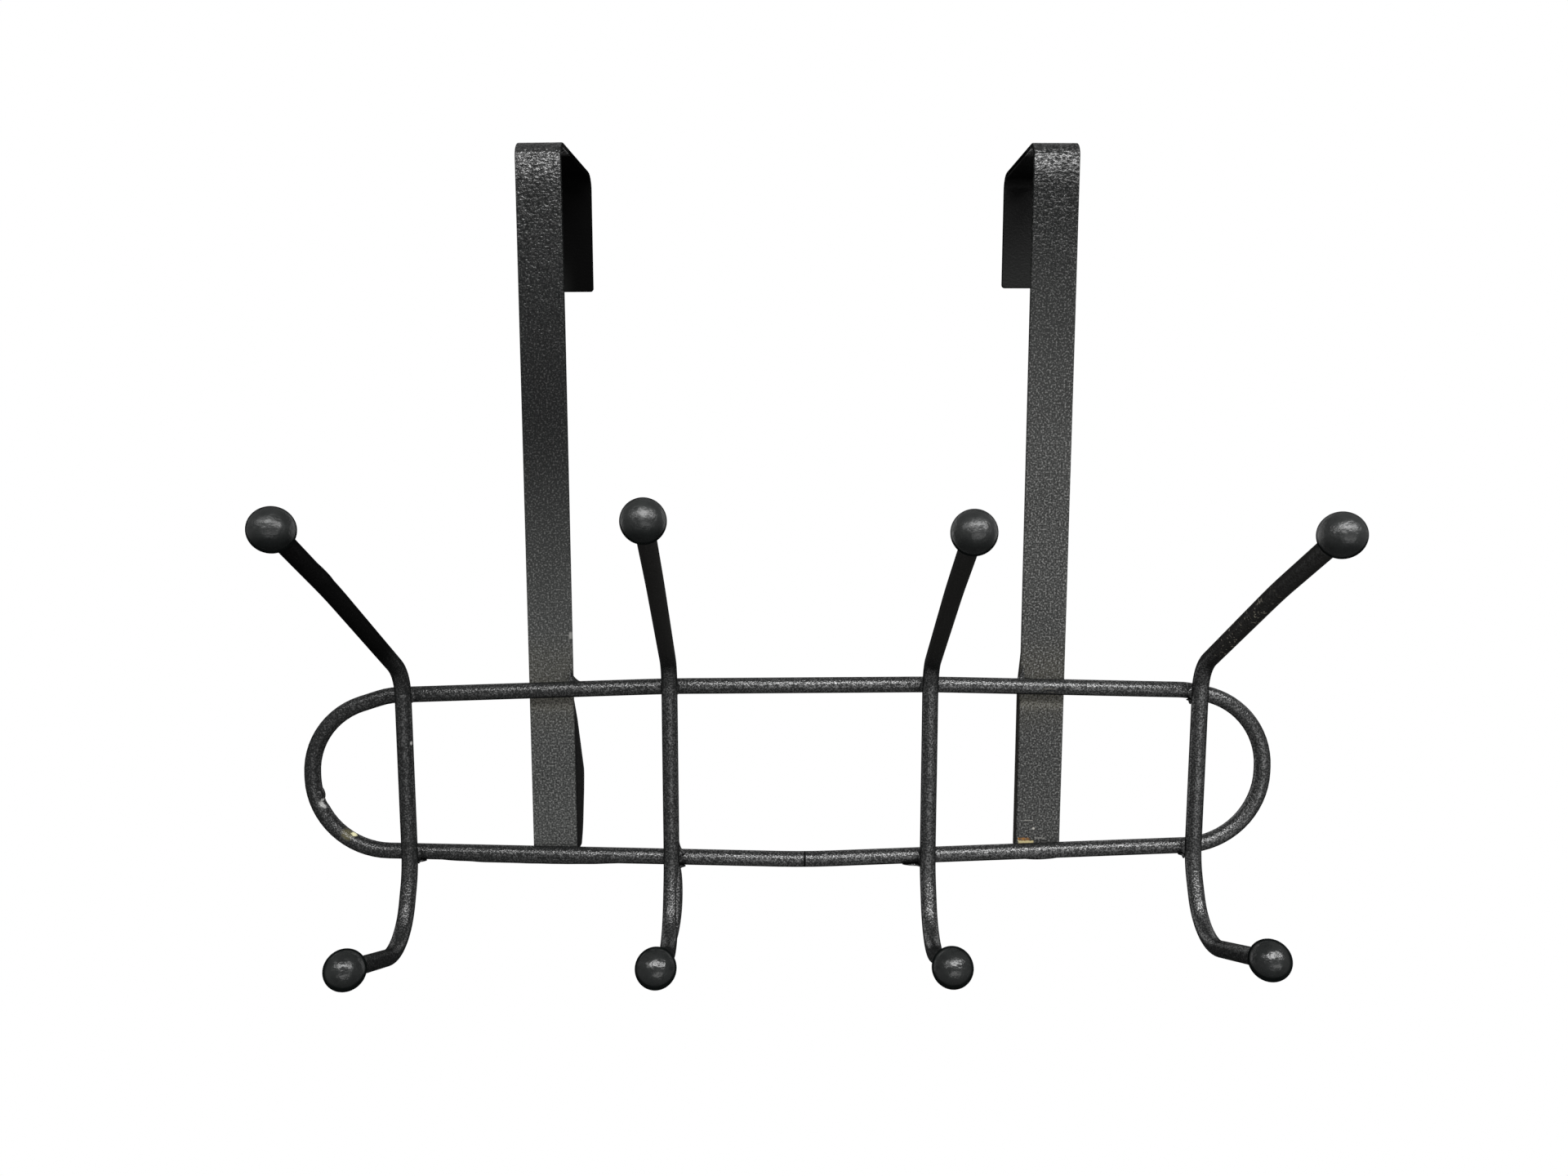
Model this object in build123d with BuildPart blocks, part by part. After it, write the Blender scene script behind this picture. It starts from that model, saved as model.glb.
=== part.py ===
from build123d import *
import os
from math import atan, cos, pi, radians, sin, tan

# Over-door hook rack: two bent straps carry a wire loop, and four double hooks are welded across it.
# X runs along the door, Y from its front to its back, Z up. The origin is midway between the straps,
# on the door's top edge and in the plane of the straps' back faces. Sizes in millimetres, angles in degrees.

# Coated round wire of the loop and the hooks
wire_diameter = 5.4

# Straps over the door
strap_width = 15.0
strap_thickness = 1.8
strap_spacing = 168.2
strap_bend_radius = 3.6
strap_corner_radius = 1.2
strap_edge_radius = 0.4
strap_end_cover = 1.4
door_gap = 45.0
left_flange_length = 40.0
right_flange_length = 38.6
left_fold_twist = 2.5
right_fold_twist = -0.6
twist_drop = 10.0
twist_length = 45.0

# How squarely a face of a strap looks along the door when it is one of the strap's sides
side_face_share = 0.9

# Wire loop: its corners, the bow of its upper rail between the inner hooks, the falls of that rail
# from its shoulders to the loop's ends, and the dip of its lower rail to the butt weld
loop_length = 326.0
loop_shift = -3.1
loop_tilt = 0.36
rail_drop = 180.6
rail_spacing = 53.3
loop_end_flat = 0.3
loop_shoulder_inset = 27.4
loop_shoulder_rise = 0.75
loop_shoulder_radius = 25.0
left_end_fall = 7.9
right_end_fall = 5.2
upper_rail_bow = 3.2
upper_bow_radius = 500.0
lower_rail_dip = 5.0
butt_weld_shift = 6.0
butt_weld_radius = 300.0

# Double hooks
hook_end_inset = 29.15
hook_row_shift = 4.3
weld_scatter = 1.0
arm_root_rise = 9.8
arm_length = 100.7
arm_bend_radius = 14.0
arm_bow_place = 62.0
arm_bow_turn = 2.5
arm_bow_radius = 300.0
crook_start = 5.9
crook_depth = 24.9
crook_lean = 25.0
crook_root_radius = 28.0
crook_radius = 17.0
tip_reach = 61.1
tip_rise = 18.0
ball_diameter = 12.1

# How far the welds draw the wires into the straps and into each other
strap_weld_set = 0.3
wire_weld_set = 0.5

# Soft pads between the straps and the door
pad_thickness = 5.0
pad_end_inset = 1.0
left_pad_length = 53.0
right_pad_length = 76.0
pad_bulge = 1.5
pad_taper = 1.6
pad_taper_length = 18.0

# Each hook as it was bent and welded: shifts and lifts from its even place in scatters, the rise of its arm,
# and the twists of its arm and its crook about the stem
hook_settings = {
    "outer_left": {
        "shift": 0.3,
        "arm_lift": -1.6,
        "arm_rise": 33.6,
        "arm_twist": -1.8,
        "crook_lift": -0.5,
        "crook_twist": 0.7,
    },
    "inner_left": {
        "shift": 0.5,
        "arm_lift": 0.3,
        "arm_rise": 33.8,
        "arm_twist": 1.6,
        "crook_lift": -0.1,
        "crook_twist": 1.1,
    },
    "inner_right": {
        "shift": -1.1,
        "arm_lift": 0.0,
        "arm_rise": 32.1,
        "arm_twist": -0.8,
        "crook_lift": 0.0,
        "crook_twist": -0.5,
    },
    "outer_right": {
        "shift": 0.5,
        "arm_lift": 0.4,
        "arm_rise": 31.4,
        "arm_twist": 0.7,
        "crook_lift": 2.1,
        "crook_twist": 0.5,
    },
}

# Worked out from the sizes above
wire_radius = wire_diameter / 2
strap_outer_radius = strap_bend_radius + strap_thickness
strap_x = strap_spacing / 2
loop_y = strap_weld_set - strap_thickness - wire_radius
stem_y = loop_y - wire_diameter + wire_weld_set
loop_half = loop_length / 2
upper_corner_z = -rail_drop
lower_corner_z = upper_corner_z - rail_spacing
hook_pitch = (loop_length - 2 * hook_end_inset) / (len(hook_settings) - 1)
dip_at_strap = lower_rail_dip * (loop_half - strap_x) / loop_half
strap_end_z = lower_corner_z - dip_at_strap - strap_end_cover


def strap_section(across, height, twist):
    """Plane across a strap at one height, turned about the middle of the strap's back face."""
    sideways = (cos(radians(twist)), -sin(radians(twist)), 0)
    return Plane(origin=(across, 0, height), x_dir=sideways, z_dir=(0, 0, 1))


def bent_strap(across, twist, flange_length):
    """Flat strap from behind the lower rail, twisting a little to its fold over the door's top edge."""
    fold = strap_section(across, 0, twist)
    flange_face = door_gap + strap_thickness
    twist_end = -twist_drop - twist_length
    with BuildPart() as strap:
        with BuildSketch(Plane(origin=fold.origin, x_dir=fold.y_dir, z_dir=fold.x_dir)) as side:
            with BuildLine():
                Polyline(
                    (0, -twist_drop),
                    (0, 0),
                    (door_gap, 0),
                    (door_gap, -flange_length),
                    (flange_face, -flange_length),
                    (flange_face, strap_thickness),
                    (-strap_thickness, strap_thickness),
                    (-strap_thickness, -twist_drop),
                    close=True,
                )
            make_face()
            inner_corners = side.vertices().group_by(Axis.Y)[-2]
            fillet(inner_corners, radius=strap_bend_radius)
            outer_corners = side.vertices().group_by(Axis.Y)[-1]
            fillet(outer_corners, radius=strap_outer_radius)
        extrude(amount=strap_width / 2, both=True)
        for height, turn in ((-twist_drop, twist), (twist_end, 0)):
            with BuildSketch(strap_section(across, height, turn)):
                Rectangle(strap_width, strap_thickness, align=(Align.CENTER, Align.MAX))
        loft()
        with BuildSketch(strap_section(across, twist_end, 0)):
            Rectangle(strap_width, strap_thickness, align=(Align.CENTER, Align.MAX))
        extrude(amount=strap_end_z - twist_end)
        end_faces = strap.faces().filter_by(Axis.Z).sort_by(Axis.Z)[:2]
        end_corners = [edge for face in end_faces for edge in face.edges().group_by(SortBy.LENGTH)[0]]
        fillet(end_corners, radius=strap_corner_radius)
        side_faces = [face for face in strap.faces() if abs(face.normal_at().X) > side_face_share]
        side_edges = [edge for face in side_faces for edge in face.edges()]
        fillet([edge for edge in side_edges if edge.length > strap_bend_radius], radius=strap_edge_radius)
    return strap


def end_radius(fall):
    """Corner radius that fills an end of the loop, below the fall of its upper rail."""
    slope = atan(fall / loop_shoulder_inset)
    return (rail_spacing - fall - loop_end_flat) / (1 + tan(pi / 4 - slope / 2))


def closed_loop():
    """Long wire loop: upper rail bowed up, lower rail dipped to its butt weld, with flats at the straps."""
    along = (cos(radians(loop_tilt)), 0, sin(radians(loop_tilt)))
    middle = (loop_shift, loop_y, (upper_corner_z + lower_corner_z) / 2)
    loop_plane = Plane(origin=middle, x_dir=along, z_dir=(0, -1, 0))
    half_spacing = rail_spacing / 2
    shoulder = loop_half - loop_shoulder_inset
    bow_half = hook_pitch / 2
    corners_and_bends = [
        ((-loop_half, half_spacing - left_end_fall), end_radius(left_end_fall)),
        ((-shoulder, half_spacing + loop_shoulder_rise), loop_shoulder_radius),
        ((hook_row_shift - bow_half, half_spacing + upper_rail_bow), upper_bow_radius),
        ((hook_row_shift + bow_half, half_spacing + upper_rail_bow), upper_bow_radius),
        ((shoulder, half_spacing + loop_shoulder_rise), loop_shoulder_radius),
        ((loop_half, half_spacing - right_end_fall), end_radius(right_end_fall)),
        ((loop_half, -half_spacing), end_radius(right_end_fall)),
        ((butt_weld_shift, -half_spacing - lower_rail_dip), butt_weld_radius),
        ((-loop_half, -half_spacing), end_radius(left_end_fall)),
    ]
    corners = [corner for corner, bend in corners_and_bends]
    bends = [bend for corner, bend in corners_and_bends]
    with BuildPart() as loop:
        with BuildLine(loop_plane) as route:
            FilletPolyline(*corners, radius=bends, close=True)
        with BuildSketch(Plane(origin=route.line @ 0, z_dir=route.line % 0)):
            Circle(wire_radius)
        sweep()
        for across in (-strap_x, strap_x):
            with BuildSketch(strap_section(across, strap_end_z, 0)):
                Rectangle(strap_width, strap_thickness, align=(Align.CENTER, Align.MAX))
        extrude(amount=rail_drop, mode=Mode.SUBTRACT)
    return loop


def hook_plane(across, twist):
    """Upright plane through a hook's stem, with its local X pointing away from the door."""
    forward = (sin(radians(twist)), -cos(radians(twist)), 0)
    sideways = (-cos(radians(twist)), -sin(radians(twist)), 0)
    return Plane(origin=(across, stem_y, 0), x_dir=forward, z_dir=sideways)


def crook_corners(plane, lift):
    """Corners of a hook's crook, from its tip up to the stem."""
    crook_root = lower_corner_z - crook_start + lift
    crook_bottom = crook_root - crook_depth
    corners = [
        (tip_reach, crook_bottom + tip_rise),
        (crook_depth * tan(radians(crook_lean)), crook_bottom),
        (0, crook_root),
    ]
    return [plane.from_local_coords(corner) for corner in corners]


def arm_corners(plane, lift, rise):
    """Corners of a hook's arm, from the stem to its tip; the arm flattens a little beyond its bow."""
    root_z = upper_corner_z + arm_root_rise + lift
    bow_reach = arm_bow_place * cos(radians(rise))
    bow_z = root_z + arm_bow_place * sin(radians(rise))
    tip_run = arm_length - arm_bow_place
    tip_angle = radians(rise - arm_bow_turn)
    corners = [
        (0, root_z),
        (bow_reach, bow_z),
        (bow_reach + tip_run * cos(tip_angle), bow_z + tip_run * sin(tip_angle)),
    ]
    return [plane.from_local_coords(corner) for corner in corners]


def hook_wire(corners, loop):
    """One bent wire with a seat in its stem wherever it crosses the loop."""
    bends = [crook_radius, crook_root_radius, arm_bend_radius, arm_bow_radius]
    with BuildPart() as hook:
        with BuildLine() as route:
            FilletPolyline(*corners, radius=bends)
        with BuildSketch(Plane(origin=route.line @ 0, z_dir=route.line % 0)):
            Circle(wire_radius)
        sweep()
        add(loop.part, mode=Mode.SUBTRACT)
    return hook


def ball_tip(centre, hook):
    """Ball on a wire's end, with the wire let in as far as the ball's middle."""
    with BuildPart() as ball:
        with Locations(centre):
            Sphere(ball_diameter / 2)
        add(hook.part, mode=Mode.SUBTRACT)
    return ball


def pad_outline_left(inner_edge, outer_edge, bottom_z):
    """Pad whose inner edge has swollen past the strap's edge."""
    top_z = bottom_z + left_pad_length
    Line((outer_edge, bottom_z), (outer_edge, top_z))
    Line((outer_edge, top_z), (inner_edge - pad_taper, top_z))
    ThreePointArc(
        (inner_edge - pad_taper, top_z),
        (inner_edge + pad_bulge, (top_z + bottom_z) / 2),
        (inner_edge, bottom_z),
    )
    Line((inner_edge, bottom_z), (outer_edge, bottom_z))


def pad_outline_right(inner_edge, outer_edge, bottom_z):
    """Pad whose inner upper corner is cut back."""
    top_z = bottom_z + right_pad_length
    Polyline(
        (outer_edge, bottom_z),
        (outer_edge, top_z),
        (inner_edge + pad_taper, top_z),
        (inner_edge, top_z - pad_taper_length),
        (inner_edge, bottom_z),
        close=True,
    )


def door_pad(side, outline):
    """Soft pad on the back face of a strap, ending just above the strap's lower end."""
    inner_edge = side * (strap_x - strap_width / 2)
    outer_edge = side * (strap_x + strap_width / 2)
    with BuildPart() as pad:
        with BuildSketch(Plane.XZ):
            with BuildLine():
                outline(inner_edge, outer_edge, strap_end_z + pad_end_inset)
            make_face()
        extrude(amount=-pad_thickness)
    return pad


wire_loop = closed_loop()
pieces = {
    "left_strap": bent_strap(-strap_x, left_fold_twist, left_flange_length),
    "right_strap": bent_strap(strap_x, right_fold_twist, right_flange_length),
    "wire_loop": wire_loop,
    "left_door_pad": door_pad(-1, pad_outline_left),
    "right_door_pad": door_pad(1, pad_outline_right),
}
first_hook_x = loop_shift + hook_row_shift - loop_half + hook_end_inset
for index, (name, setting) in enumerate(hook_settings.items()):
    across = first_hook_x + index * hook_pitch + setting["shift"] * weld_scatter
    crook_plane = hook_plane(across, setting["crook_twist"])
    arm_plane = hook_plane(across, setting["arm_twist"])
    corners = crook_corners(crook_plane, setting["crook_lift"] * weld_scatter)
    corners += arm_corners(arm_plane, setting["arm_lift"] * weld_scatter, setting["arm_rise"])
    hook = hook_wire(corners, wire_loop)
    pieces[name + "_hook"] = hook
    pieces[name + "_upper_ball"] = ball_tip(corners[-1], hook)
    pieces[name + "_lower_ball"] = ball_tip(corners[0], hook)

os.makedirs("parts", exist_ok=True)
for name, piece in pieces.items():
    piece.part.label = name
    export_step(piece.part, f"parts/{name}.step")
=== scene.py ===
from math import cos, pi, radians, sin

import bmesh
import bpy
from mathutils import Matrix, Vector, noise
from mathutils.bvhtree import BVHTree


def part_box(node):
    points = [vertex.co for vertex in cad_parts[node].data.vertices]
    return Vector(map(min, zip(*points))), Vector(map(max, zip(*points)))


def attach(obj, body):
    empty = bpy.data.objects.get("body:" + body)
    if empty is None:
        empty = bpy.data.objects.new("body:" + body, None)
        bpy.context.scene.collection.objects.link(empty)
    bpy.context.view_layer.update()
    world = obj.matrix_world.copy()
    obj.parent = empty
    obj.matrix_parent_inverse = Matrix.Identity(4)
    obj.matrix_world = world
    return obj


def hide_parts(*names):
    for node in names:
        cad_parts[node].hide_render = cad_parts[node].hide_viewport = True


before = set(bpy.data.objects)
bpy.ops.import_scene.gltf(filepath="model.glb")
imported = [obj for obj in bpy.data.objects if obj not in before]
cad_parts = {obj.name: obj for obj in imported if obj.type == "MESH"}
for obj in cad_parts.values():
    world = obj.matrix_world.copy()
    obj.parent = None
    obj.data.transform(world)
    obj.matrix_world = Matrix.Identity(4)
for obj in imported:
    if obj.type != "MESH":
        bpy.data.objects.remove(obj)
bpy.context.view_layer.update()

# Over-door hook rack, dressed for the camera. Metres, in the frame of the solid model:
# X along the door, Y through it, Z up, with the origin on the door's top edge.
MM = 0.001
HOOKS = ("outer_left", "inner_left", "inner_right", "outer_right")
BALL_ENDS = ("upper", "lower")
STRAPS = ("left_strap", "right_strap")
PADS = ("left_door_pad", "right_door_pad")
BALLS = tuple(f"{hook}_{end}_ball" for hook in HOOKS for end in BALL_ENDS)
WIRES = ("wire_loop",) + tuple(f"{hook}_hook" for hook in HOOKS)

# Photograph's viewpoint
IMAGE_WIDTH = 1920
FOCAL_PIXELS = 1375.0
SENSOR_WIDTH = 36.0
CAMERA_PLACE = Vector((-5.61, -379.28, -97.99)) * MM
CAMERA_PITCH = 7.0
CAMERA_YAW = 0.18
CAMERA_CLIP = 0.01


def rgba(red, green, blue):
    return (red, green, blue, 1.0)


def grey(level):
    return rgba(level, level, level)


class Value:
    """One socket of a paint's node tree; arithmetic on it adds Math nodes."""

    def __init__(self, paint, socket):
        self.paint = paint
        self.socket = socket

    def math(self, operation, first, second=0.0):
        return self.paint.node("ShaderNodeMath", {"operation": operation}, {0: first, 1: second})

    def __add__(self, other):
        return self.math("ADD", self, other)

    def __sub__(self, other):
        return self.math("SUBTRACT", self, other)

    def __rsub__(self, other):
        return self.math("SUBTRACT", other, self)

    def __mul__(self, other):
        return self.math("MULTIPLY", self, other)

    def __truediv__(self, other):
        return self.math("DIVIDE", self, other)

    def __abs__(self):
        return self.math("ABSOLUTE", self)

    __radd__ = __add__
    __rmul__ = __mul__

    def largest(self, other):
        return self.math("MAXIMUM", self, other)

    def ramp(self, start, end):
        """Smooth step from 0 at start to 1 at end."""
        settings = {"interpolation_type": "SMOOTHSTEP"}
        sockets = {"Value": self, "From Min": start, "From Max": end}
        return self.paint.node("ShaderNodeMapRange", settings, sockets)

    def between(self, start, end, soft):
        """Mask of 1 from start to end, with soft edges."""
        return self.ramp(start - soft, start + soft) * (1 - self.ramp(end - soft, end + soft))


class Paint:
    """A node material: its tree, its shader and the one method that adds a node."""

    def __init__(self, name, specular=0.5, ior=1.5):
        self.material = bpy.data.materials.new(name)
        self.material.use_nodes = True
        self.tree = self.material.node_tree
        self.shader = self.tree.nodes["Principled BSDF"]
        self.shader.inputs["Specular IOR Level"].default_value = specular
        self.shader.inputs["IOR"].default_value = ior

    def node(self, kind, settings, sockets, output=0):
        made = self.tree.nodes.new(kind)
        for key, setting in settings.items():
            setattr(made, key, setting)
        for key, value in sockets.items():
            if isinstance(value, Value):
                self.tree.links.new(value.socket, made.inputs[key])
            else:
                made.inputs[key].default_value = value
        return Value(self, made.outputs[output])

    def plain(self, colour, roughness):
        """One colour and one roughness all over."""
        self.shader.inputs["Base Color"].default_value = colour
        self.shader.inputs["Roughness"].default_value = roughness
        return self.material

    def blend(self, share, other):
        """Show the other shader instead of this paint's own, by a share."""
        own = Value(self, self.shader.outputs[0])
        both = self.node("ShaderNodeMixShader", {}, {0: share, 1: own, 2: other})
        self.tree.links.new(both.socket, self.tree.nodes["Material Output"].inputs["Surface"])


class Finish(Paint):
    """A paint that changes over a surface, by the place of each point in the shared frame."""

    def __init__(self, name, specular, ior=1.5):
        super().__init__(name, specular, ior)
        self.place = self.node("ShaderNodeTexCoord", {}, {}, "Object")
        self.x, self.y, self.z = self.axes(self.place)

    def axes(self, vector):
        """X, Y and Z of a vector."""
        first = self.node("ShaderNodeSeparateXYZ", {}, {0: vector}, "X")
        return [Value(self, first.socket.node.outputs[axis]) for axis in "XYZ"]

    def facing(self, axis):
        """How far the surface looks along an axis, 0, 1 or 2, from -1 to 1."""
        return self.axes(self.node("ShaderNodeTexCoord", {}, {}, "Normal"))[axis]

    def rim(self):
        """Grazing share, near 1 where the surface turns away."""
        return self.node("ShaderNodeLayerWeight", {}, {"Blend": 0.5}, "Facing")

    def stretched(self, factors):
        """Place with each axis multiplied, for a texture that is longer one way."""
        return self.node("ShaderNodeVectorMath", {"operation": "MULTIPLY"}, {0: self.place, 1: factors})

    def grain(self, size, detail=2.0, rough=0.5, place=None):
        """Noise whose lumps are about size across, in metres."""
        sockets = {"Vector": place or self.place, "Scale": 1.0 / size, "Detail": detail, "Roughness": rough}
        return self.node("ShaderNodeTexNoise", {}, sockets, "Fac")

    def mix(self, factor, first, second):
        """Colour from first to second."""
        settings = {"data_type": "RGBA"}
        return self.node("ShaderNodeMix", settings, {"Factor": factor, 6: first, 7: second}, 2)

    def spot(self, centre, radius, ragged):
        """Mask of 1 around a point, with an edge made ragged by a noise; sizes in millimetres."""
        soft = 0.35
        stray = (ragged - 0.5) * 1.2
        sockets = {0: self.place, 1: Vector(centre) * MM}
        offset = self.node("ShaderNodeVectorMath", {"operation": "SUBTRACT"}, sockets)
        length = self.node("ShaderNodeVectorMath", {"operation": "LENGTH"}, {0: offset}, "Value")
        reach = length / (radius * MM) + stray
        return 1 - reach.ramp(1 - soft, 1 + soft)

    def patch(self, x_range, z_range, soft, ragged):
        """Mask of 1 in an upright rectangle of the front, with ragged edges; sizes in millimetres."""
        front_edge = 0.3 * MM
        stray = (ragged - 0.5) * (soft * 4 * MM)
        across = (self.x + stray).between(x_range[0] * MM, x_range[1] * MM, soft * MM)
        upward = (self.z - stray).between(z_range[0] * MM, z_range[1] * MM, soft * MM)
        return across * upward * (1 - self.y.ramp(-front_edge, front_edge))

    def finish(self, colour, roughness, height, bump_depth, matt=None):
        """Link what changes over the surface to the shader; the matt share loses its gloss."""
        sockets = {"Strength": 1.0, "Distance": bump_depth, "Height": height}
        bumped = self.node("ShaderNodeBump", {}, sockets, "Normal")
        links = {"Base Color": colour, "Roughness": roughness, "Normal": bumped}
        for key, value in links.items():
            self.tree.links.new(value.socket, self.shader.inputs[key])
        if matt is not None:
            sockets = {"Base Color": colour, "Roughness": 1.0, "Specular IOR Level": 0.0}
            self.blend(matt, self.node("ShaderNodeBsdfPrincipled", {}, sockets))
        return self.material


def surface(node):
    """Search tree over a solid's mesh, for finding where its surface lies."""
    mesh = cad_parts[node].data
    corners = [vertex.co.copy() for vertex in mesh.vertices]
    return BVHTree.FromPolygons(corners, [tuple(polygon.vertices) for polygon in mesh.polygons])


def hit(tree, start, direction):
    """First point of the surface met from start along direction."""
    return tree.ray_cast(Vector(start), Vector(direction))[0]


def centre_of(node):
    """Middle of a solid's box."""
    low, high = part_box(node)
    return (Vector(low) + Vector(high)) / 2


# Measures read from the solid model
loop_low, loop_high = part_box("wire_loop")
wire_radius = (loop_high[1] - loop_low[1]) / 2
loop_y = (loop_high[1] + loop_low[1]) / 2
loop_middle_z = (loop_high[2] + loop_low[2]) / 2
ball_radius = (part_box(BALLS[0])[1][0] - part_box(BALLS[0])[0][0]) / 2
loop_surface = surface("wire_loop")


def rail_heights(x):
    """Middle heights of the upper and the lower rail at x."""
    down = hit(loop_surface, (x, loop_y, loop_high[2] + wire_radius), (0, 0, -1))
    up = hit(loop_surface, (x, loop_y, loop_low[2] - wire_radius), (0, 0, 1))
    return down.z - wire_radius, up.z + wire_radius


def stem_place(hook):
    """X and Y of a hook's stem, halfway between the rails."""
    tree = surface(f"{hook}_hook")
    low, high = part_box(f"{hook}_hook")
    ends = []
    for side, start_x in ((1, low[0] - wire_radius), (-1, high[0] + wire_radius)):
        ends.append(hit(tree, (start_x, high[1] - wire_radius, loop_middle_z), (side, 0, 0)).x)
    return sum(ends) / 2, high[1] - wire_radius


def strap_edge(strap, side, z):
    """X of a strap's side at one height, met from well outside it at half its thickness."""
    well_outside = 30 * MM
    half_thickness = 0.9 * MM
    start = (centre_of(strap).x + side * well_outside, -half_thickness, z)
    return hit(surface(strap), start, (-side, 0, 0)).x


def arm_direction(hook, ball):
    """Ball's centre and the direction in which its wire leaves it."""
    centre = centre_of(ball)
    clear_of_ball = ball_radius * 1.5
    corners = [vertex.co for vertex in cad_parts[hook].data.vertices]
    beyond = [corner for corner in corners if (corner - centre).length > clear_of_ball]
    nearest = min((corner - centre).length for corner in beyond)
    ring = [corner for corner in beyond if (corner - centre).length < nearest + wire_radius / 2]
    middle = sum(ring, Vector()) / len(ring)
    return centre, (middle - centre).normalized()


upper_rail_z = rail_heights(0)[0]

# Finish of the straps: colours, then zones in metres, then marks of wear in millimetres
# Painted shade: the backs of the straps, with the flanges in the recess behind the front legs, are painted
# darker than the fronts.
STRAP_BACK_PAINTED_SHADE = grey(0.0025)
STRAP_FRONT = rgba(0.009, 0.0095, 0.0095)
# Dust and painted sheen: the lower front legs are painted lighter, partly as real dust, partly as the sheen
# of light from the front.
LEFT_DUST_AND_SHEEN = rgba(0.088, 0.091, 0.088)
RIGHT_DUST_AND_SHEEN = rgba(0.068, 0.069, 0.067)
# Painted light: the flanges' feet are painted lighter than their tops, which stay dark as painted shade
# under the fold; on the left flange only its lower left corner.
FLANGE_FOOT_PAINTED_LIGHT = rgba(0.012, 0.0125, 0.012)
BROWN_FILM = rgba(0.085, 0.076, 0.052)
# Pale dust below the upper rail, painted light enough to fill in the rail's cast shadow: partly dust,
# partly painted light.
PALE_DUST_AND_PAINTED_LIGHT = rgba(0.24, 0.23, 0.195)
STRAP_SPECKS = rgba(0.20, 0.20, 0.195)
STRAP_PITS = grey(0.016)
RUST = rgba(0.31, 0.135, 0.028)
BARE_EDGE = rgba(0.60, 0.52, 0.28)
SCRATCHED = rgba(0.32, 0.31, 0.29)
PALE_FLECK = rgba(0.45, 0.44, 0.40)
CHIPPED = rgba(0.20, 0.20, 0.19)
LEFT_TO_RIGHT = (-0.05, 0.05)
FRONT_TO_FLANGE = (4 * MM, 14 * MM)
DUST_AND_SHEEN_HEIGHTS = (-0.197, -0.080)
RIGHT_DUST_AND_SHEEN_RISE = 0.072
LEAN_HEIGHTS = (-0.013, 0.013)
FOLD_HEIGHTS = (-0.0115, 0.0005)
BELOW_FOLD_HEIGHTS = (-0.100, -0.004)
FLANGE_FOOT_PAINTED_LIGHT_HEIGHTS = (-0.042, -0.012)
PAINTED_LEFT_GLOW_WIDTHS = (-0.088, -0.080)
PAINTED_LEFT_GLOW_HEIGHTS = (-0.040, -0.022)
BROWN_FILM_REACH = (0.004, 0.020)
PALE_DUST_AND_PAINTED_LIGHT_DROP = 8 * MM
RUST_PLACE = ((77.2, 81.1), (-233.0, -232.1))
CRESCENT_PLACE = ((77.2, 82.5), (-234.0, -233.1))
SCRATCHES = (((78.9, 82.1), -225.8), ((83.2, 86.4), -232.1))
SCRATCH_HALF = 0.12
FLECK_PLACE = (82.4, -1.8, -228.7)
CHIP_PLACE = ((-77.6, -76.4), (-161.7, -159.5))
STRAP_BUMP = 0.4 * MM


def strap_zones(coat):
    """Masks of the right strap, the front legs, their lower part with dust and painted sheen, the fold and
    the stretch below it.
    """
    right = coat.x.ramp(*LEFT_TO_RIGHT)
    front = 1 - coat.y.ramp(*FRONT_TO_FLANGE)
    low = front * (1 - (coat.z - RIGHT_DUST_AND_SHEEN_RISE * right).ramp(*DUST_AND_SHEEN_HEIGHTS))
    fold = front * coat.z.ramp(*FOLD_HEIGHTS)
    below_fold = front * coat.z.ramp(*BELOW_FOLD_HEIGHTS) * (1 - fold)
    return right, front, low, fold, below_fold


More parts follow.
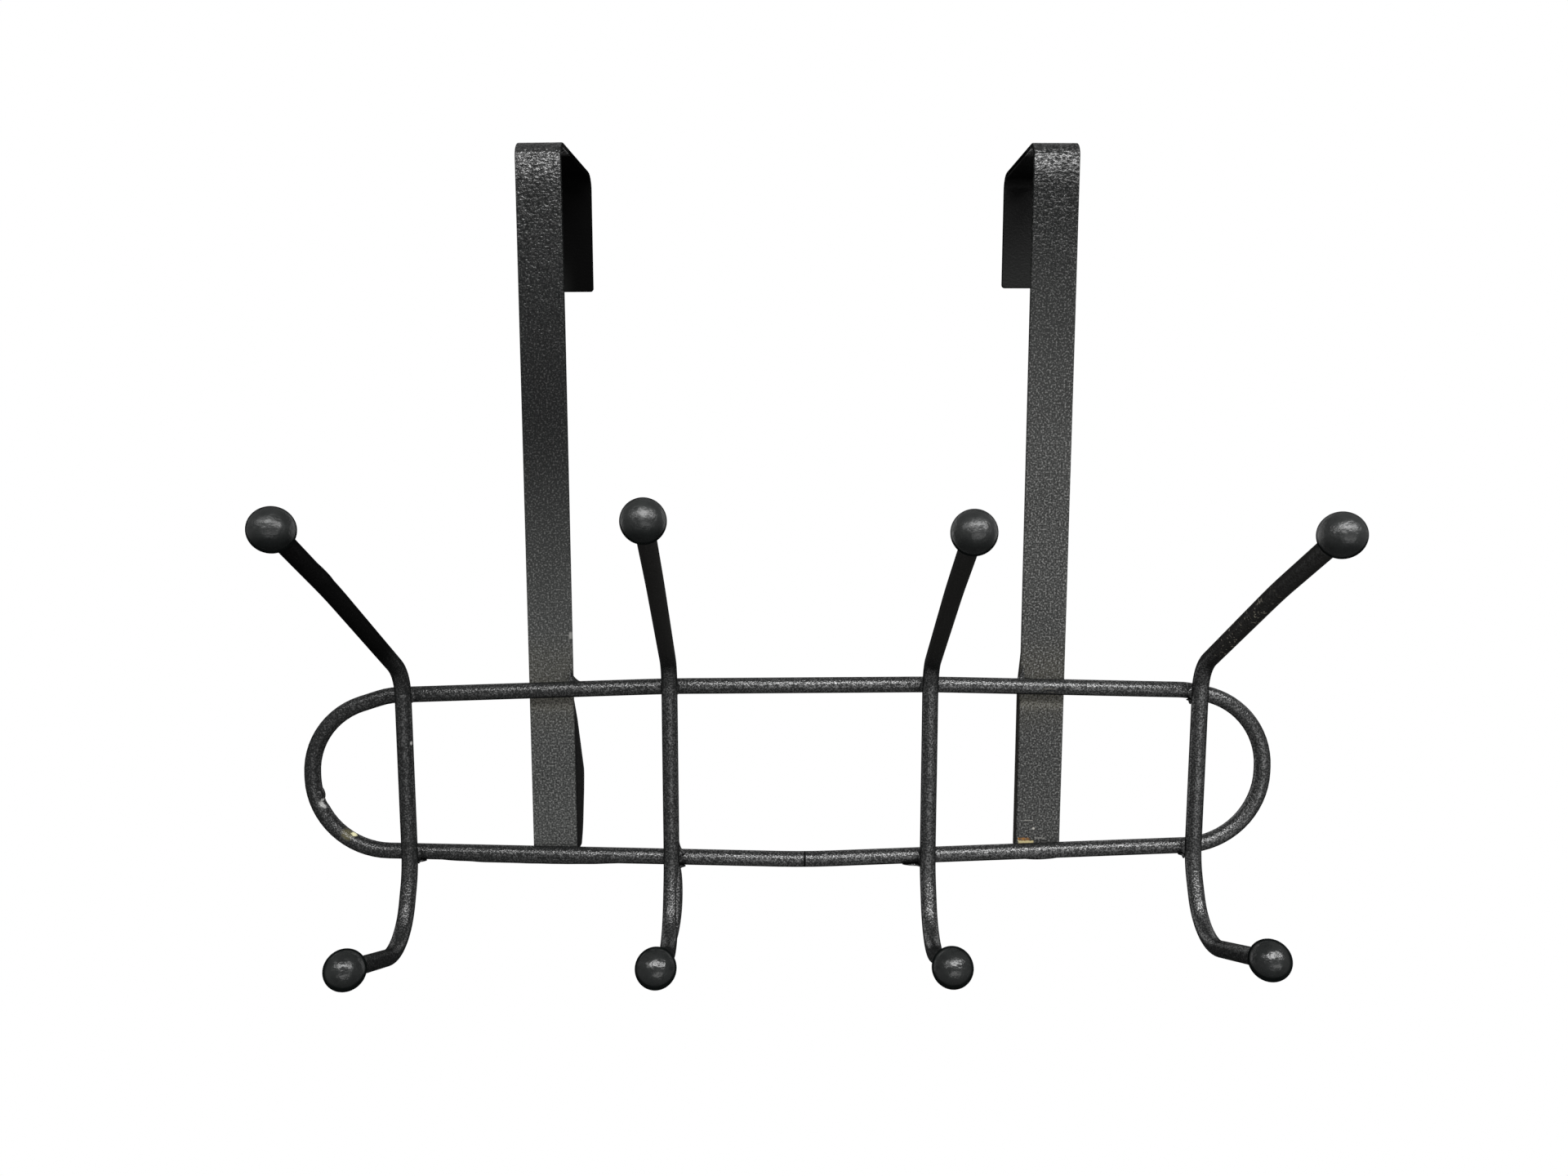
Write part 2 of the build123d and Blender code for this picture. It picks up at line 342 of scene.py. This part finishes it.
def strap_dust_and_painted_light(coat, right, front, low, fine):
    """Black coating with dust and painted sheen on its lower part, films of dirt beside the upper rail,
    pale dust and painted light over the rail's shadow below it, painted shade on the backs and painted
    light on the flanges' feet.
    """
    cloudy = coat.grain(22 * MM, detail=3.0, rough=0.6)
    # Painted shade: everything behind the front legs is painted darker.
    colour = coat.mix(front, STRAP_BACK_PAINTED_SHADE, STRAP_FRONT)
    # Dust and painted sheen: the lower legs are painted lighter, partly dust, partly sheen.
    dust_and_sheen = low * (0.64 + 0.10 * right + 0.5 * (cloudy - 0.5))
    colour = coat.mix(dust_and_sheen, colour, coat.mix(right, LEFT_DUST_AND_SHEEN, RIGHT_DUST_AND_SHEEN))
    # Painted light on the flanges' feet, on the left flange only at its lower left corner.
    painted_light_flange_foot = (1 - front) * (1 - coat.z.ramp(*FLANGE_FOOT_PAINTED_LIGHT_HEIGHTS))
    painted_left_glow = (1 - coat.x.ramp(*PAINTED_LEFT_GLOW_WIDTHS)) * (1 - coat.z.ramp(*PAINTED_LEFT_GLOW_HEIGHTS))
    painted_lit_foot = painted_light_flange_foot * (right + (1 - right) * painted_left_glow)
    colour = coat.mix(painted_lit_foot, colour, FLANGE_FOOT_PAINTED_LIGHT)
    near_rail = front * (1 - abs(coat.z - upper_rail_z).ramp(*BROWN_FILM_REACH))
    colour = coat.mix(near_rail * cloudy * 0.5, colour, BROWN_FILM)
    # Pale dust and painted light under the upper rail, lightening the rail's cast shadow.
    under_rail_dust_and_painted_light = front * coat.z.between(upper_rail_z - PALE_DUST_AND_PAINTED_LIGHT_DROP, upper_rail_z, soft=2.5 * MM)
    colour = coat.mix(under_rail_dust_and_painted_light * (0.35 + 0.65 * fine.ramp(0.45, 0.65)), colour, PALE_DUST_AND_PAINTED_LIGHT)
    specked = front * (0.20 + 0.08 * right + 0.72 * low)
    colour = coat.mix(fine.ramp(0.50, 0.70) * specked, colour, STRAP_SPECKS)
    return coat.mix((1 - fine.ramp(0.34, 0.52)) * low * 0.75, colour, STRAP_PITS)


def strap_wear(coat, colour, fine, wrinkles):
    """Rust and a bare crescent at the right strap's lower end, scratches, a fleck and a chipped edge."""
    rust = coat.patch(*RUST_PLACE, soft=0.3, ragged=fine) * (0.35 + 0.65 * wrinkles.ramp(0.40, 0.52))
    colour = coat.mix(rust, colour, RUST)
    colour = coat.mix(coat.patch(*CRESCENT_PLACE, soft=0.22, ragged=fine), colour, BARE_EDGE)
    for x_range, z in SCRATCHES:
        scratch = coat.patch(x_range, (z - SCRATCH_HALF, z + SCRATCH_HALF), SCRATCH_HALF, fine)
        colour = coat.mix(scratch * 0.8, colour, SCRATCHED)
    colour = coat.mix(coat.spot(FLECK_PLACE, radius=0.4, ragged=fine), colour, PALE_FLECK)
    return coat.mix(coat.patch(*CHIP_PLACE, soft=0.3, ragged=fine), colour, CHIPPED)


def coated_strap():
    """Coarse wrinkled black coating, dusty and painted with sheen lower down, with painted shade and light
    behind the front legs, rusted through at one edge.
    """
    coat = Finish("strap_coating", specular=0.8)
    wrinkles = coat.grain(1.0 * MM, detail=1.5, rough=0.55, place=coat.stretched((0.75, 1.0, 1.2)))
    fine = coat.grain(0.6 * MM)
    right, front, low, fold, below_fold = strap_zones(coat)
    colour = strap_dust_and_painted_light(coat, right, front, low, fine)
    colour = strap_wear(coat, colour, fine, wrinkles)
    roughness = 0.17 + 0.33 * low + 0.33 * (1 - front)
    ridges = wrinkles.ramp(0.42, 0.60)
    shine = 0.02 + 0.13 * front + 0.12 * right * (1 - front) + fold * (0.3 + 1.8 * ridges)
    shine = (shine + below_fold * (0.04 + 0.42 * ridges)) * (1.2 - 0.5 * right * front)
    sides = abs(coat.facing(0)).ramp(0.5, 0.85)
    gloss = (1 - sides) * (1 - 0.6 * low) * shine
    lean = front * coat.z.ramp(*LEAN_HEIGHTS)
    texture = wrinkles * (0.4 + 0.6 * fold + 0.2 * below_fold) + fine * 0.25 - 7 * lean
    return coat.finish(colour, roughness, texture, STRAP_BUMP, matt=1 - gloss)


# Finish of the wires: colours, then zones in metres, then marks of wear in millimetres
WIRE_DARK = rgba(0.008, 0.0085, 0.0085)
WIRE_LIGHT = rgba(0.015, 0.0155, 0.0155)
WIRE_GRAIN = grey(0.08)
# Painted shade and light on the arms: the outer left arm is painted darker as shade, the other arms lighter
# as light on their undersides.
OUTER_LEFT_ARM_PAINTED_SHADE = grey(0.005)
OTHER_ARMS_PAINTED_LIGHT = rgba(0.022, 0.0217, 0.0207)
ARM_SPECKS = rgba(0.26, 0.24, 0.20)
WELD_LINE = grey(0.001)
SCUFFED = rgba(0.15, 0.145, 0.13)
NOTCH_FLOOR = rgba(0.60, 0.60, 0.585)
YELLOW_HALO = rgba(0.20, 0.18, 0.09)
YELLOW_SPECK = rgba(0.75, 0.72, 0.45)
PALE_NICK = rgba(0.42, 0.42, 0.40)
ARM_DEPTHS = (-30 * MM, -14 * MM)
ARM_HEIGHTS = (-180 * MM, -168 * MM)
PAST_OUTER_LEFT = (-0.120, -0.060)
AT_OUTER_RIGHT = (124 * MM, 126 * MM)
SPECKED_DEPTHS = (-62 * MM, -24 * MM)
WELD_LINE_WIDTHS = (2.45 * MM, 2.95 * MM)
LOWER_RAIL_TOP = (-226 * MM, -225 * MM)
GLOSS_RISE = (-0.17, 0.10)
SCUFF_PLACE = ((82.6, 92.4), (-179.3, -177.7))
CROOK_RUN_PLACE = ((-41.0, -37.0), (-262.0, -239.0))
LEFT_WEB_X = -75.6
LEFT_WEB_Y = -3.2
LEFT_WEB_RISE = 0.8
# Small marks: place, radius, strength and colour
WIRE_MARKS = (
    ((-162.5, -5.2, -218.3), 1.5, 1.0, NOTCH_FLOOR),
    ((-154.3, -6.0, -228.9), 2.0, 0.35, YELLOW_HALO),
    ((-152.5, -4.8, -229.3), 0.95, 1.0, YELLOW_SPECK),
    ((-129.9, -10.1, -195.9), 0.6, 1.0, PALE_NICK),
)
WIRE_BUMP = 0.20 * MM


def coated_wire():
    """Fine textured black coating with pale specks and a few scuffs; the outer left arm is painted darker
    as shade, the other arms lighter as light on their undersides.
    """
    coat = Finish("wire_coating", specular=0.9, ior=1.75)
    fine = coat.grain(0.55 * MM, detail=1.5)
    patchy = coat.grain(3.0 * MM)
    cloudy = coat.grain(16 * MM, detail=3.0, rough=0.6)
    colour = coat.mix(cloudy, WIRE_DARK, WIRE_LIGHT)
    colour = coat.mix(fine.ramp(0.56, 0.70) * 0.35, colour, WIRE_GRAIN)
    arm = (1 - coat.y.ramp(*ARM_DEPTHS)) * coat.z.ramp(*ARM_HEIGHTS)
    not_outer_left = coat.x.ramp(*PAST_OUTER_LEFT)
    # Painted shade on the outer left arm, painted light on the other arms.
    colour = coat.mix(arm, colour, coat.mix(not_outer_left, OUTER_LEFT_ARM_PAINTED_SHADE, OTHER_ARMS_PAINTED_LIGHT))
    specked_arm = arm * coat.x.ramp(*AT_OUTER_RIGHT) * coat.y.between(*SPECKED_DEPTHS, soft=8 * MM)
    specks = coat.grain(0.9 * MM, detail=1.0).ramp(0.59, 0.65) * patchy.ramp(0.46, 0.58)
    colour = coat.mix(specked_arm * specks, colour, ARM_SPECKS)
    butt_weld = coat.x.between(*WELD_LINE_WIDTHS, soft=0.2 * MM) * (1 - coat.z.ramp(*LOWER_RAIL_TOP))
    colour = coat.mix(butt_weld, colour, WELD_LINE)
    worn = coat.patch(*SCUFF_PLACE, soft=0.6, ragged=patchy)
    scuffs = coat.grain(0.6 * MM, place=coat.stretched((0.15, 1.0, 1.0)))
    colour = coat.mix(worn * scuffs.ramp(0.50, 0.62) * 0.7, colour, SCUFFED)
    for place, radius, strength, mark in WIRE_MARKS:
        colour = coat.mix(coat.spot(place, radius, fine) * strength, colour, mark)
    roughness = 0.28 + 0.2 * worn
    web_foot = (rail_heights(LEFT_WEB_X * MM)[0] + wire_radius) / MM
    strap_web = coat.spot((LEFT_WEB_X, LEFT_WEB_Y, web_foot + LEFT_WEB_RISE), radius=2.6, ragged=fine)
    crook_run = coat.patch(*CROOK_RUN_PLACE, soft=0.4, ragged=fine)
    turned_away = (coat.rim() - 0.22 * coat.facing(2).ramp(0.2, 0.8)).ramp(0.3, 0.65)
    dull_arm = (0.92 - 0.2 * not_outer_left) * arm
    gloss = (0.22 + 0.85 * fine.ramp(0.42, 0.62)) * (1 - 0.95 * turned_away) * (1 - dull_arm)
    gloss = gloss * (1 - 0.8 * strap_web) * (1 - 0.5 * crook_run) * (1 - 0.75 * worn)
    gloss = gloss * (0.50 + 0.64 * coat.x.ramp(*GLOSS_RISE)) * (1 - 0.9 * butt_weld)
    texture = fine * (1 - 0.6 * arm) - 3 * butt_weld
    return coat.finish(colour, roughness, texture, WIRE_BUMP, matt=1 - gloss)


# Finish of the balls
BALL_DARK = rgba(0.003, 0.0038, 0.0038)
BALL_LIGHT = rgba(0.011, 0.0128, 0.0124)
LOWER_TO_UPPER_BALLS = (-0.22, -0.18)
LEFT_TO_RIGHT_BALLS = (-0.15, 0.12)
BALL_BUMP = 0.25 * MM


def coated_ball():
    """Smoother satin coating, a little mottled; the gloss of the lower balls is weaker and sharper."""
    coat = Finish("ball_coating", specular=0.8)
    mottle = coat.grain(2.2 * MM)
    fine = coat.grain(0.9 * MM)
    colour = coat.mix(mottle, BALL_DARK, BALL_LIGHT)
    low = 1 - coat.z.ramp(*LOWER_TO_UPPER_BALLS)
    roughness = 0.27 - 0.10 * low + 0.18 * mottle
    matt = 0.9 * (coat.rim() + 0.18 * low).ramp(0.5, 0.85) + 0.7 * (1 - coat.facing(2).ramp(-0.6, 0.05))
    matt = matt + 0.22 * (1 - coat.x.ramp(*LEFT_TO_RIGHT_BALLS)) * (1 - low) + 0.18 * low
    return coat.finish(colour, roughness, fine * 0.4 + mottle, BALL_BUMP, matt)


# Finish of the pads
FOAM_DARK = grey(0.003)
FOAM_LIGHT = grey(0.008)
FOAM_DUST = rgba(0.028, 0.025, 0.021)
FOAM_CELL = 0.7 * MM
FOAM_BUMP = 0.1 * MM


def pad_foam():
    """Matt black foam with fine cells, a little dusty on the right pad."""
    foam = Finish("pad_foam", specular=0.15)
    sockets = {"Vector": foam.place, "Scale": 1 / FOAM_CELL}
    cells = foam.node("ShaderNodeTexVoronoi", {}, sockets, "Distance")
    right = foam.x.ramp(*LEFT_TO_RIGHT)
    colour = foam.mix(cells, FOAM_DARK, FOAM_LIGHT)
    colour = foam.mix(right * 0.7, colour, FOAM_DUST)
    roughness = 0.85 + 0.1 * cells
    return foam.finish(colour, roughness, cells, FOAM_BUMP)


strap_finish = coated_strap()
wire_finish = coated_wire()
ball_finish = coated_ball()
foam_finish = pad_foam()


def dress_nodes(nodes, material):
    """Give solids of the frame their finish."""
    for name in nodes:
        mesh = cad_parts[name].data
        mesh.materials.clear()
        mesh.materials.append(material)


dress_nodes(STRAPS, strap_finish)
dress_nodes(WIRES, wire_finish)
dress_nodes(BALLS, ball_finish)


# Forms of weld metal, coating and foam; angles in degrees
JOINED_BELOW = 1e-7
LOOP_CREASE = 30
PAD_CREASE = 20
PAD_FLATNESS = 2
PAD_EDGE = 0.9 * MM
RUN_SIDES = 20
NECK_SIDES = 48


def new_piece(name, bm, material):
    """Mesh piece that rides on the rack, with the finish that it is given."""
    mesh = bpy.data.meshes.new(name)
    bmesh.ops.recalc_face_normals(bm, faces=bm.faces)
    bm.to_mesh(mesh)
    bm.free()
    for polygon in mesh.polygons:
        polygon.use_smooth = True
    piece = bpy.data.objects.new(name, mesh)
    bpy.context.scene.collection.objects.link(piece)
    mesh.materials.append(material)
    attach(piece, "root")
    return piece


def solid_copy(node):
    """Editable copy of a solid's mesh, with its corners joined."""
    bm = bmesh.new()
    bm.from_mesh(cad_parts[node].data)
    bmesh.ops.remove_doubles(bm, verts=bm.verts, dist=JOINED_BELOW)
    return bm


def creases(bm, angle):
    """Edges that fold by more than an angle, in degrees."""
    folded = [edge for edge in bm.edges if len(edge.link_faces) == 2]
    return [edge for edge in folded if edge.calc_face_angle() > radians(angle)]


def turned_to(direction):
    """Rotation that brings the local Z axis to a direction."""
    return Vector(direction).to_track_quat("Z", "Y").to_matrix()


def circle(centre, turn, radius, along, count):
    """Ring of points about a turned axis, at a distance along it from the centre."""
    points = []
    for index in range(count):
        angle = 2 * pi * index / count
        points.append(centre + turn @ Vector((radius * cos(angle), radius * sin(angle), along)))
    return points


def bridge(bm, rings):
    """Skin between rings of points, with a lid on each end."""
    rows = [[bm.verts.new(point) for point in ring] for ring in rings]
    count = len(rows[0])
    for first, second in zip(rows, rows[1:]):
        for index in range(count):
            after = (index + 1) % count
            bm.faces.new((first[index], first[after], second[after], second[index]))
    bm.faces.new(rows[0])
    bm.faces.new(rows[-1])


def add_lump(bm, centre, half_sizes, seed, direction=(0, 0, 1), rough=0.18):
    """Rounded, slightly uneven lump of weld metal or coating; the last half size lies along direction."""
    noise_scale = 1.7
    noise_shift = Vector((seed * 3.1, seed * 1.7, seed * 0.9))
    made = bmesh.ops.create_icosphere(bm, subdivisions=4, radius=1.0)
    turn = turned_to(direction)
    for vertex in made["verts"]:
        wobble = 1 + rough * noise.noise(vertex.co * noise_scale + noise_shift)
        local = Vector([share * half * wobble for share, half in zip(vertex.co, half_sizes)])
        vertex.co = Vector(centre) + turn @ local


def add_run(bm, path, radius, seed, rough):
    """Thread of coating along a path, thin at both ends and uneven between them."""
    uneven_size = 6 * MM
    end_roundness = 0.4
    rings = []
    for index, middle in enumerate(path):
        before = path[max(index - 1, 0)]
        after = path[min(index + 1, len(path) - 1)]
        share = (index + 0.5) / len(path)
        uneven = 1 + rough * noise.noise(middle / uneven_size + Vector((0, seed, 0)))
        swell = radius * sin(pi * share) ** end_roundness * uneven
        rings.append(circle(middle, turned_to(after - before), swell, 0, RUN_SIDES))
    bridge(bm, rings)


def add_web(bm, corner, reach_x, reach_z, half_depth):
    """Hollow-faced web of coating in a corner; the reaches' signs say which way it opens."""
    layers = 13
    steps = 12
    hollow = 1.6
    thinning = 0.6
    buried = 0.35
    sink = Vector((-reach_x, 0, -reach_z)) * buried
    rings = []
    for layer in range(layers):
        share = -1 + 2 * (layer + 0.5) / layers
        size = (1 - share ** 2) ** thinning
        middle = Vector(corner) + Vector((0, half_depth * share, 0))
        ring = [middle + sink]
        for step in range(steps + 1):
            along = step / steps
            face = Vector((reach_x * along ** hollow, 0, reach_z * (1 - along) ** hollow))
            ring.append(middle + face * size)
        rings.append(ring)
    bridge(bm, rings)


def add_neck(bm, centre, direction):
    """Collar of coating that fills the corner between a ball and its wire."""
    turn = turned_to(direction)
    start = ball_radius * 0.83
    end = ball_radius * 1.08
    skin = 1.005
    flare = 0.30
    steps = 8
    rings = []
    for step in range(steps + 1):
        share = step / steps
        radius = wire_radius * (skin + flare * (1 - share) ** 2)
        rings.append(circle(centre, turn, radius, start + (end - start) * share, NECK_SIDES))
    bridge(bm, rings)


def weld_beads():
    """Weld metal in the corners where the wires cross, under the coating."""
    spread = wire_radius * 1.22
    depth = wire_radius * 0.55
    bm = bmesh.new()
    for first, hook in enumerate(HOOKS):
        stem_x, stem_y = stem_place(hook)
        for turn, rail_z in enumerate(rail_heights(stem_x)):
            contact = (stem_x, (stem_y + loop_y) / 2, rail_z)
            add_lump(bm, contact, (spread, depth, spread), seed=first * 2 + turn + 1)
    return new_piece("weld_beads", bm, wire_finish)


# Webs beside the straps: strap, side, reaches along X and Z in millimetres
STRAP_WEBS = (
    ("left_strap", 1, 3.8, 4.8),
    ("right_strap", -1, 2.4, 4.8),
)
# Webs beside the stems: hook, upper rail 0 or lower rail 1, side, up or down, reaches in millimetres
STEM_WEBS = (
    ("inner_left", 1, 1, 1, 2.2, 4.4),
    ("inner_left", 1, 1, -1, 2.2, 1.8),
    ("outer_left", 1, 1, -1, 2.6, 1.0),
    ("inner_right", 1, -1, -1, 6.0, 0.8),
    ("outer_right", 1, -1, -1, 1.8, 1.4),
    ("outer_right", 0, -1, -1, 1.2, 1.4),
)
STRAP_WEB_Y = -2.9 * MM
STRAP_EDGE_READ = 4 * MM
STRAP_OVERLAP = 0.4 * MM
RAIL_OVERLAP = 0.5 * MM
STRAP_WEB_DEPTH = 1.5 * MM
STEM_WEB_DEPTH = 1.8 * MM


def coating_webs():
    """Webs of coating in the corners beside the straps and the welds."""
    bm = bmesh.new()
    for strap, side, reach_x, reach_z in STRAP_WEBS:
        edge = strap_edge(strap, side, upper_rail_z + STRAP_EDGE_READ)
        rail_top = rail_heights(edge + side * wire_radius)[0] + wire_radius
        corner = (edge - side * STRAP_OVERLAP, STRAP_WEB_Y, rail_top - RAIL_OVERLAP)
        add_web(bm, corner, side * reach_x * MM, reach_z * MM, STRAP_WEB_DEPTH)
    sunk = wire_radius * 0.9
    for hook, rail, side, upward, reach_x, reach_z in STEM_WEBS:
        stem_x, stem_y = stem_place(hook)
        rail_z = rail_heights(stem_x)[rail]
        corner = (stem_x + side * sunk, (stem_y + loop_y) / 2, rail_z + upward * sunk)
        add_web(bm, corner, side * reach_x * MM, upward * reach_z * MM, STEM_WEB_DEPTH)
    return new_piece("coating_webs", bm, wire_finish)


# Lumps and runs of coating; the rails' runs are in millimetres
END_LUMP_PLACE = Vector((-164.75, -4.2, -214.9)) * MM
END_LUMP_SIZES = Vector((2.3, 2.3, 3.4)) * MM
END_LUMP_LINE = (0.45, 0, -0.9)
ARM_LUMP_FROM_BALL = 30 * MM
ARM_LUMP_SHIFT = Vector((0.35, 0, 0.25)) * MM
ARM_LUMP_SIZES = Vector((2.55, 2.55, 12.0)) * MM
CROOK_RUN_TOP = -238.5 * MM
CROOK_RUN_CLEAR = 0.9 * MM
CROOK_RUN_SHIFT = Vector((2.1 * MM, 0, 0))
CROOK_RUN_RADIUS = 1.9 * MM
RAIL_RUNS = (
    {"x": (-131.0, -46.0), "drop": (1.2, 0.6), "radius": 2.55, "seed": 24, "rough": 0.06, "steps": 60},
    {"x": (75.0, 94.0), "drop": (0.65, 0.65), "radius": 2.5, "seed": 25, "rough": 0.08, "steps": 20},
)


def crook_path():
    """Line of the run on the inner left crook, beside the wire's own middle."""
    steps = 40
    smoothings = 4
    well_behind = 10 * MM
    tree = surface("inner_left_hook")
    stem_x, stem_y = stem_place("inner_left")
    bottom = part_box("inner_left_hook")[0][2] + CROOK_RUN_CLEAR
    path = []
    for step in range(steps):
        z = CROOK_RUN_TOP + (bottom - CROOK_RUN_TOP) * step / (steps - 1)
        behind = Vector((stem_x, stem_y + well_behind, z))
        back, outward = tree.ray_cast(behind, Vector((0, -1, 0)))[:2]
        outward = Vector((0, outward.y, outward.z)).normalized()
        path.append(back - outward * wire_radius + CROOK_RUN_SHIFT)
    for smoothing in range(smoothings):
        path[1:-1] = [(before + after) / 2 for before, after in zip(path, path[2:])]
    return path


def rail_path(run):
    """Line of a run under the lower rail."""
    path = []
    for step in range(run["steps"]):
        share = step / (run["steps"] - 1)
        x, drop = [(start + (end - start) * share) * MM for start, end in (run["x"], run["drop"])]
        path.append(Vector((x, loop_y, rail_heights(x)[1] - drop)))
    return path


def coating_runs():
    """Swellings and runs where the coating gathered on the wires."""
    bm = bmesh.new()
    add_lump(bm, END_LUMP_PLACE, END_LUMP_SIZES, seed=21, direction=END_LUMP_LINE, rough=0.03)
    centre, direction = arm_direction("outer_left_hook", "outer_left_upper_ball")
    arm_lump = centre + direction * ARM_LUMP_FROM_BALL + ARM_LUMP_SHIFT
    add_lump(bm, arm_lump, ARM_LUMP_SIZES, seed=22, direction=direction, rough=0.05)
    add_run(bm, crook_path(), CROOK_RUN_RADIUS, seed=23, rough=0.0)
    for run in RAIL_RUNS:
        add_run(bm, rail_path(run), run["radius"] * MM, run["seed"], run["rough"])
    return new_piece("coating_runs", bm, wire_finish)


def ball_necks():
    """Coating drawn into the corner behind each ball."""
    bm = bmesh.new()
    for hook in HOOKS:
        for end in BALL_ENDS:
            centre, direction = arm_direction(f"{hook}_hook", f"{hook}_{end}_ball")
            add_neck(bm, centre, direction)
    return new_piece("ball_necks", bm, ball_finish)


# Bite out of the loop's left end
NOTCH = Vector((-161.6, -4.3, -217.7)) * MM
NOTCH_REACH = 2.6 * MM
NOTCH_PUSH = Vector((-1.3, 0, -0.35)) * MM
NOTCH_STEEPNESS = 1.6
NOTCH_DIVIDED = 6 * MM


def notched_loop():
    """Wire loop with the bite out of the inner side of its left end."""
    bm = solid_copy("wire_loop")
    near = [edge for edge in bm.edges if min((v.co - NOTCH).length for v in edge.verts) < NOTCH_DIVIDED]
    bmesh.ops.subdivide_edges(bm, edges=near, cuts=4, use_grid_fill=True)
    for vertex in bm.verts:
        share = 1 - (vertex.co - NOTCH).length / NOTCH_REACH
        if share > 0:
            vertex.co += NOTCH_PUSH * min(1.0, NOTCH_STEEPNESS * share)
    for edge in creases(bm, LOOP_CREASE):
        edge.smooth = False
    loop = new_piece("notched_loop", bm, wire_finish)
    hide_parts("wire_loop")
    return loop


def pad_swell(height):
    """How far the left pad's inner edge has swollen, in metres, from its foot at 0 to its top at 1."""
    foot = 0.5 * max(0, 1 - height / 0.3)
    top = 0.5 * max(0, (height - 0.7) / 0.3)
    belly = 0.45 * max(0, 1 - abs(height - 0.52) / 0.25)
    return (0.2 + foot + top + belly) * MM


def soft_pad(node):
    """Foam pad with soft edges, in the space of its solid."""
    bm = solid_copy(node)
    middle = centre_of(node)
    low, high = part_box(node)
    for vertex in bm.verts:
        if middle.x < vertex.co.x < 0:
            vertex.co.x += pad_swell((vertex.co.z - low[2]) / (high[2] - low[2]))
    bmesh.ops.dissolve_limit(bm, angle_limit=radians(PAD_FLATNESS), verts=bm.verts, edges=bm.edges)
    sharp = creases(bm, PAD_CREASE)
    bmesh.ops.bevel(bm, geom=sharp, offset=PAD_EDGE, segments=5, profile=0.5, affect="EDGES")
    pad = new_piece(f"{node}_foam", bm, foam_finish)
    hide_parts(node)
    return pad


weld_beads()
coating_webs()
coating_runs()
ball_necks()
notched_loop()
for pad_node in PADS:
    soft_pad(pad_node)


# Studio

FLOOR_Z = -2.1
FLOOR_SIZE = 9.0
FLOOR_COLOUR = grey(0.7)
BACKDROP_Y = 2.5
BACKDROP_TOP = 1.3
BACKDROP_COLOUR = grey(0.8)
STAGE_ROUGHNESS = 0.9
AMBIENT = 0.30
RACK_MIDDLE = Vector((0, 0, -0.16))
LAMP_DISTANCE = 1.15
# Lamps: name, azimuth and elevation in degrees, width and height in metres, power in watts
LAMPS = (
    ("main_panel", 4, 43, 0.95, 0.32, 11.5),
    ("right_panel", 50, 33, 0.30, 0.25, 3.5),
    ("left_panel", -50, 33, 0.30, 0.25, 1.5),
    ("low_panel", 12, -12, 1.10, 0.30, 2.2),
)


def studio_world():
    """Even white light from all round."""
    world = bpy.data.worlds.new("studio")
    bpy.context.scene.world = world
    world.use_nodes = True
    soft = world.node_tree.nodes["Background"]
    soft.inputs["Color"].default_value = grey(1)
    soft.inputs["Strength"].default_value = AMBIENT


def white_paint(name):
    """Paint that is white to the camera and in reflections, and plain pale paint to other light."""
    paint = Paint(name)
    seen = paint.node("ShaderNodeLightPath", {}, {}, "Is Camera Ray")
    rays = seen.socket.node.outputs
    for ray in ("Is Glossy Ray", "Is Transmission Ray"):
        seen = seen.largest(Value(paint, rays[ray]))
    paint.blend(seen, paint.node("ShaderNodeEmission", {}, {"Strength": 1.0}))
    return paint.plain(BACKDROP_COLOUR, STAGE_ROUGHNESS)


def stage_sheet(name, corners, material):
    """Flat four-cornered sheet of the studio."""
    mesh = bpy.data.meshes.new(name)
    mesh.from_pydata(corners, [], [(0, 1, 2, 3)])
    mesh.materials.append(material)
    sheet = bpy.data.objects.new(name, mesh)
    bpy.context.scene.collection.objects.link(sheet)


def studio_stage():
    """Floor below the rack and backdrop behind it."""
    half = FLOOR_SIZE / 2
    floor = [(x, y, FLOOR_Z) for x, y in ((-half, -half), (half, -half), (half, half), (-half, half))]
    stage_sheet("floor", floor, Paint("floor_paint").plain(FLOOR_COLOUR, STAGE_ROUGHNESS))
    edges = ((-half, FLOOR_Z), (half, FLOOR_Z), (half, BACKDROP_TOP), (-half, BACKDROP_TOP))
    wall = [(x, BACKDROP_Y, z) for x, z in edges]
    stage_sheet("backdrop", wall, white_paint("backdrop_paint"))


def panel_light(name, azimuth, elevation, width, height, power):
    """Soft rectangular lamp that looks at the rack; azimuth from its front to its right, in degrees."""
    lamp = bpy.data.lights.new(name, "AREA")
    lamp.shape = "RECTANGLE"
    lamp.size = width
    lamp.size_y = height
    lamp.energy = power
    turn = radians(azimuth)
    lift = radians(elevation)
    toward = Vector((sin(turn) * cos(lift), -cos(turn) * cos(lift), sin(lift)))
    holder = bpy.data.objects.new(name, lamp)
    holder.location = RACK_MIDDLE + toward * LAMP_DISTANCE
    holder.rotation_euler = (-toward).to_track_quat("-Z", "Y").to_euler()
    bpy.context.scene.collection.objects.link(holder)


def camera_view():
    """Camera at the photograph's viewpoint."""
    data = bpy.data.cameras.new("photo_view")
    data.sensor_width = SENSOR_WIDTH
    data.lens = FOCAL_PIXELS / IMAGE_WIDTH * SENSOR_WIDTH
    data.clip_start = CAMERA_CLIP
    holder = bpy.data.objects.new("photo_view", data)
    holder.location = CAMERA_PLACE
    holder.rotation_euler = (radians(90 - CAMERA_PITCH), 0, radians(-CAMERA_YAW))
    bpy.context.scene.collection.objects.link(holder)
    bpy.context.scene.camera = holder


studio_world()
studio_stage()
camera_view()
for panel in LAMPS:
    panel_light(*panel)
bpy.context.scene.view_settings.view_transform = "Standard"
